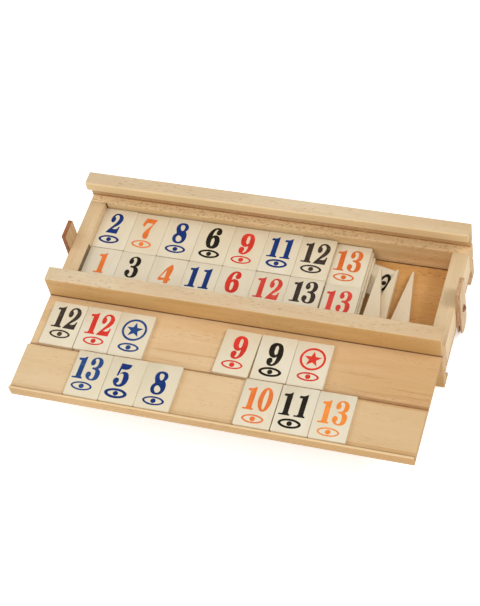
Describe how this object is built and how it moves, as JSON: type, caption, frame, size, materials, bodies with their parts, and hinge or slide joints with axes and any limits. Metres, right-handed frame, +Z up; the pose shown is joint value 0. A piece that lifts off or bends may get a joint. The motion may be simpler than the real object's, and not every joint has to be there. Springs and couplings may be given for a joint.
{
  "type": "rummy tile case",
  "caption": "Long beech case with two grooved rails, a tray of numbered wooden tiles, turning end latches and a stepped tile rack docked along its front.",
  "frame": {"origin": "middle of the whole outline, on the table, with the rack docked at the front", "axes": "+X along the rails to the right, +Y from front to back, +Z up"},
  "size_m": [0.3116, 0.1924, 0.061],
  "materials": {
    "rail_beech": "pale beech, planed, light flecks, bare and slightly worn",
    "wall_beech": "beech, lengthwise grain, bare",
    "floor_wood": "thin orange-brown veneer board, satin",
    "dowel_wood": "beech, hidden",
    "latch_wood": "pale faces with dark reddish plies at the edges",
    "screw_brass": "dull brass with a slotted round head",
    "rack_beech": "golden beech, planed, satin",
    "foot_wood": "pale limewood, bare",
    "tile_wood": "cream wood with printed numbers, satin"
  },
  "bodies": {
    "case": {"front_rail": "rail_beech", "back_rail": "rail_beech", "left_end_wall": "wall_beech", "right_end_wall": "wall_beech", "floor_board": "floor_wood", "wall_dowels": "dowel_wood", "latch_screw_left": "screw_brass", "latch_screw_right": "screw_brass"},
    "latch_left": {"latch_left": "latch_wood"},
    "latch_right": {"latch_right": "latch_wood"},
    "rack": {"rack_board": "rack_beech"},
    "foot_1": {"foot_1": "foot_wood"},
    "foot_2": {"foot_2": "foot_wood"},
    "foot_3": {"foot_3": "foot_wood"},
    "layer_1": {"tile_layer_1": "tile_wood", "skewed_tile": "tile_wood"},
    "layer_2": {"tile_layer_2": "tile_wood"},
    "layer_3": {"tile_layer_3": "tile_wood"},
    "layer_4": {"tile_layer_4": "tile_wood"},
    "rack_tile_1": {"rack_tile_1": "tile_wood"},
    "rack_tile_2": {"rack_tile_2": "tile_wood"},
    "rack_tile_3": {"rack_tile_3": "tile_wood"},
    "rack_tile_4": {"rack_tile_4": "tile_wood"},
    "rack_tile_5": {"rack_tile_5": "tile_wood"},
    "rack_tile_6": {"rack_tile_6": "tile_wood"},
    "rack_tile_7": {"rack_tile_7": "tile_wood"},
    "rack_tile_8": {"rack_tile_8": "tile_wood"},
    "rack_tile_9": {"rack_tile_9": "tile_wood"},
    "rack_tile_10": {"rack_tile_10": "tile_wood"},
    "rack_tile_11": {"rack_tile_11": "tile_wood"},
    "rack_tile_12": {"rack_tile_12": "tile_wood"},
    "back_tile_1": {"back_tile_1": "tile_wood"},
    "back_tile_2": {"back_tile_2": "tile_wood"},
    "back_tile_3": {"back_tile_3": "tile_wood"},
    "back_tile_4": {"back_tile_4": "tile_wood"},
    "back_tile_5": {"back_tile_5": "tile_wood"},
    "back_tile_6": {"back_tile_6": "tile_wood"},
    "back_tile_7": {"back_tile_7": "tile_wood"},
    "back_tile_8": {"back_tile_8": "tile_wood"},
    "front_tile_1": {"front_tile_1": "tile_wood"},
    "front_tile_2": {"front_tile_2": "tile_wood"},
    "front_tile_3": {"front_tile_3": "tile_wood"},
    "front_tile_4": {"front_tile_4": "tile_wood"},
    "front_tile_5": {"front_tile_5": "tile_wood"},
    "front_tile_6": {"front_tile_6": "tile_wood"},
    "front_tile_7": {"front_tile_7": "tile_wood"},
    "front_tile_8": {"front_tile_8": "tile_wood"}
  },
  "joints": [
    {"name": "latch_left_turn", "type": "hinge", "parent": "case", "child": "latch_left", "pos_m": [-0.1519, 0.0437, 0.0282], "axis": [1, 0, 0], "continuous": true},
    {"name": "latch_right_turn", "type": "hinge", "parent": "case", "child": "latch_right", "pos_m": [0.1519, 0.0437, 0.0282], "axis": [1, 0, 0], "continuous": true},
    {"name": "rack_slide", "type": "slide", "parent": "case", "child": "rack", "axis": [0, -1, 0], "range_m": [0, 0.12]},
    {"name": "foot_1_lift", "type": "slide", "parent": "foot_2", "child": "foot_1", "axis": [0, 0, 1], "range_m": [0, 0.035]},
    {"name": "foot_2_lift", "type": "slide", "parent": "layer_1", "child": "foot_2", "axis": [0, 0, 1], "range_m": [0, 0.035]},
    {"name": "foot_3_lift", "type": "slide", "parent": "case", "child": "foot_3", "axis": [0, 0, 1], "range_m": [0, 0.035]},
    {"name": "layer_1_lift", "type": "slide", "parent": "case", "child": "layer_1", "axis": [0, 0, 1], "range_m": [0, 0.035]},
    {"name": "layer_2_lift", "type": "slide", "parent": "layer_1", "child": "layer_2", "axis": [0, 0, 1], "range_m": [0, 0.035]},
    {"name": "layer_3_lift", "type": "slide", "parent": "layer_2", "child": "layer_3", "axis": [0, 0, 1], "range_m": [0, 0.035]},
    {"name": "layer_4_lift", "type": "slide", "parent": "layer_3", "child": "layer_4", "axis": [0, 0, 1], "range_m": [0, 0.035]},
    {"name": "rack_tile_1_lift", "type": "slide", "parent": "rack", "child": "rack_tile_1", "axis": [0, 0, 1], "range_m": [0, 0.03]},
    {"name": "rack_tile_2_lift", "type": "slide", "parent": "rack", "child": "rack_tile_2", "axis": [0, 0, 1], "range_m": [0, 0.03]},
    {"name": "rack_tile_3_lift", "type": "slide", "parent": "rack", "child": "rack_tile_3", "axis": [0, 0, 1], "range_m": [0, 0.03]},
    {"name": "rack_tile_4_lift", "type": "slide", "parent": "rack", "child": "rack_tile_4", "axis": [0, 0, 1], "range_m": [0, 0.03]},
    {"name": "rack_tile_5_lift", "type": "slide", "parent": "rack", "child": "rack_tile_5", "axis": [0, 0, 1], "range_m": [0, 0.03]},
    {"name": "rack_tile_6_lift", "type": "slide", "parent": "rack", "child": "rack_tile_6", "axis": [0, 0, 1], "range_m": [0, 0.03]},
    {"name": "rack_tile_7_lift", "type": "slide", "parent": "rack", "child": "rack_tile_7", "axis": [0, 0, 1], "range_m": [0, 0.03]},
    {"name": "rack_tile_8_lift", "type": "slide", "parent": "rack", "child": "rack_tile_8", "axis": [0, 0, 1], "range_m": [0, 0.03]},
    {"name": "rack_tile_9_lift", "type": "slide", "parent": "rack", "child": "rack_tile_9", "axis": [0, 0, 1], "range_m": [0, 0.03]},
    {"name": "rack_tile_10_lift", "type": "slide", "parent": "rack", "child": "rack_tile_10", "axis": [0, 0, 1], "range_m": [0, 0.03]},
    {"name": "rack_tile_11_lift", "type": "slide", "parent": "rack", "child": "rack_tile_11", "axis": [0, 0, 1], "range_m": [0, 0.03]},
    {"name": "rack_tile_12_lift", "type": "slide", "parent": "rack", "child": "rack_tile_12", "axis": [0, 0, 1], "range_m": [0, 0.03]},
    {"name": "back_tile_1_lift", "type": "slide", "parent": "layer_4", "child": "back_tile_1", "axis": [0, 0, 1], "range_m": [0, 0.035]},
    {"name": "back_tile_2_lift", "type": "slide", "parent": "layer_4", "child": "back_tile_2", "axis": [0, 0, 1], "range_m": [0, 0.035]},
    {"name": "back_tile_3_lift", "type": "slide", "parent": "layer_4", "child": "back_tile_3", "axis": [0, 0, 1], "range_m": [0, 0.035]},
    {"name": "back_tile_4_lift", "type": "slide", "parent": "layer_4", "child": "back_tile_4", "axis": [0, 0, 1], "range_m": [0, 0.035]},
    {"name": "back_tile_5_lift", "type": "slide", "parent": "layer_4", "child": "back_tile_5", "axis": [0, 0, 1], "range_m": [0, 0.035]},
    {"name": "back_tile_6_lift", "type": "slide", "parent": "layer_4", "child": "back_tile_6", "axis": [0, 0, 1], "range_m": [0, 0.035]},
    {"name": "back_tile_7_lift", "type": "slide", "parent": "layer_4", "child": "back_tile_7", "axis": [0, 0, 1], "range_m": [0, 0.035]},
    {"name": "back_tile_8_lift", "type": "slide", "parent": "layer_3", "child": "back_tile_8", "axis": [0, 0, 1], "range_m": [0, 0.035]},
    {"name": "front_tile_1_lift", "type": "slide", "parent": "layer_4", "child": "front_tile_1", "axis": [0, 0, 1], "range_m": [0, 0.035]},
    {"name": "front_tile_2_lift", "type": "slide", "parent": "layer_4", "child": "front_tile_2", "axis": [0, 0, 1], "range_m": [0, 0.035]},
    {"name": "front_tile_3_lift", "type": "slide", "parent": "layer_4", "child": "front_tile_3", "axis": [0, 0, 1], "range_m": [0, 0.035]},
    {"name": "front_tile_4_lift", "type": "slide", "parent": "layer_4", "child": "front_tile_4", "axis": [0, 0, 1], "range_m": [0, 0.035]},
    {"name": "front_tile_5_lift", "type": "slide", "parent": "layer_4", "child": "front_tile_5", "axis": [0, 0, 1], "range_m": [0, 0.035]},
    {"name": "front_tile_6_lift", "type": "slide", "parent": "layer_4", "child": "front_tile_6", "axis": [0, 0, 1], "range_m": [0, 0.035]},
    {"name": "front_tile_7_lift", "type": "slide", "parent": "layer_4", "child": "front_tile_7", "axis": [0, 0, 1], "range_m": [0, 0.035]},
    {"name": "front_tile_8_lift", "type": "slide", "parent": "layer_4", "child": "front_tile_8", "axis": [0, 0, 1], "range_m": [0, 0.035]}
  ]
}
